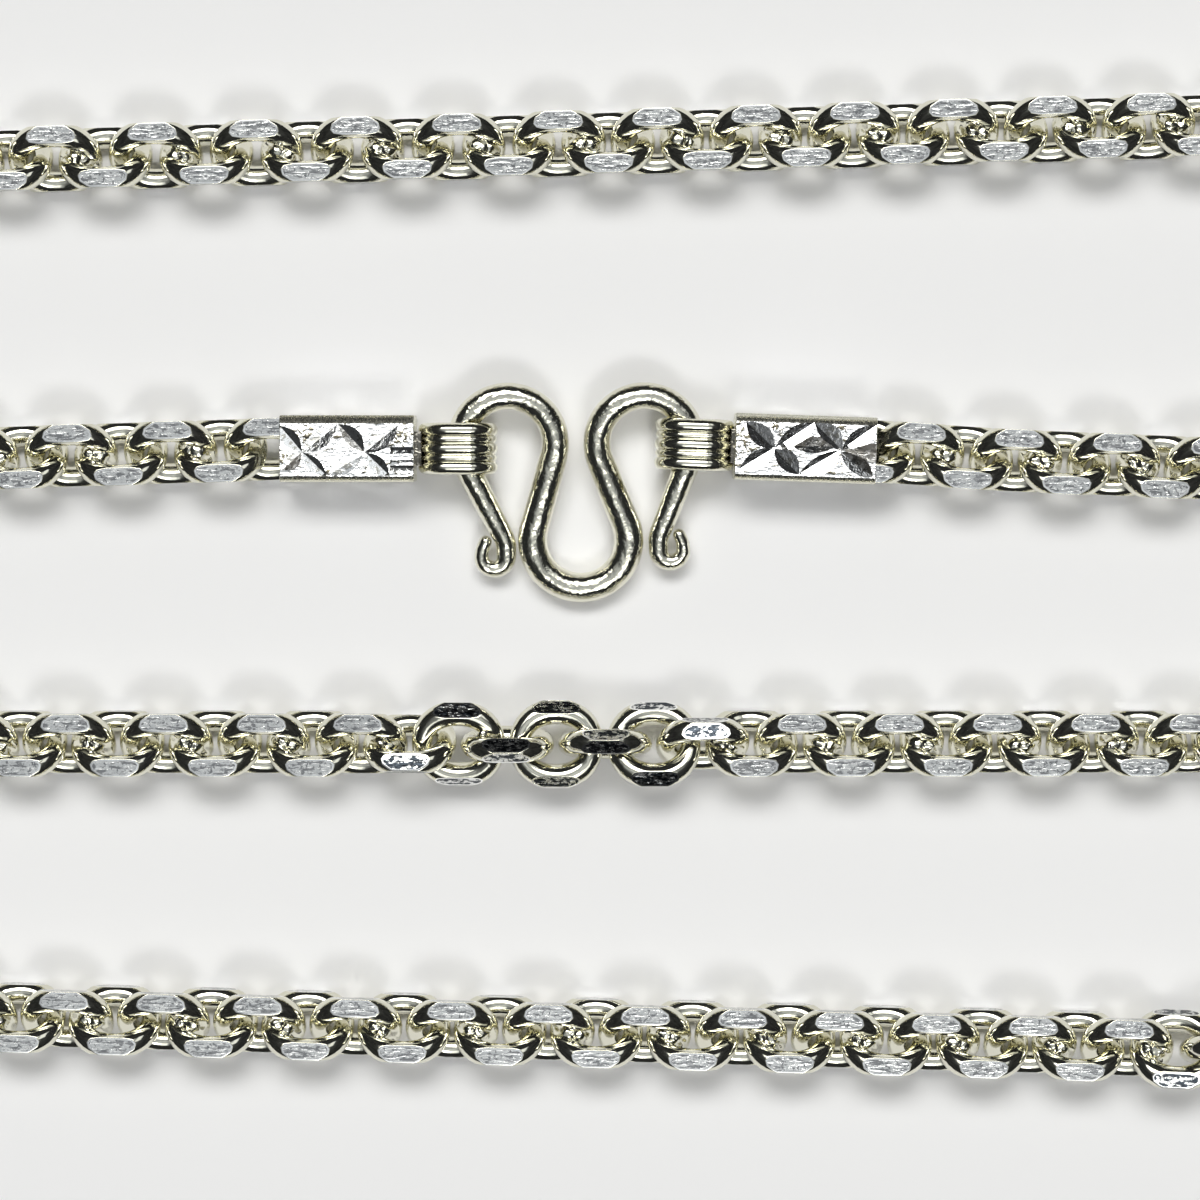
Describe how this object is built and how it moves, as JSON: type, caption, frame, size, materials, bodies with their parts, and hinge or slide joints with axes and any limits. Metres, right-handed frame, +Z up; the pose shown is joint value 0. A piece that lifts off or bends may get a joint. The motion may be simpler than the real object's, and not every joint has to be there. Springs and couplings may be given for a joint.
{
  "type": "anchor chain necklace",
  "caption": "Diamond-cut anchor chain necklace lying in a folded loop, its two engraved square end caps joined by an M-shaped hook through ribbed rings.",
  "frame": {"origin": "middle of the lying necklace's footprint, on the surface it rests on", "axes": "+X along the four runs, towards the wide turn; +Y across the runs, towards the run above the hook; +Z up"},
  "size_m": [0.131, 0.0506, 0.0045],
  "materials": {
    "chain_silver": "polished silver with flat diamond-cut facets",
    "cap_silver": "polished silver with engraved leaf cuts",
    "hook_silver": "polished silver wire"
  },
  "bodies": {
    "root": {"chain_first_half": "chain_silver", "chain_second_half": "chain_silver", "left_end_cap": "cap_silver", "right_end_cap": "cap_silver", "m_hook": "hook_silver"}
  },
  "joints": []
}
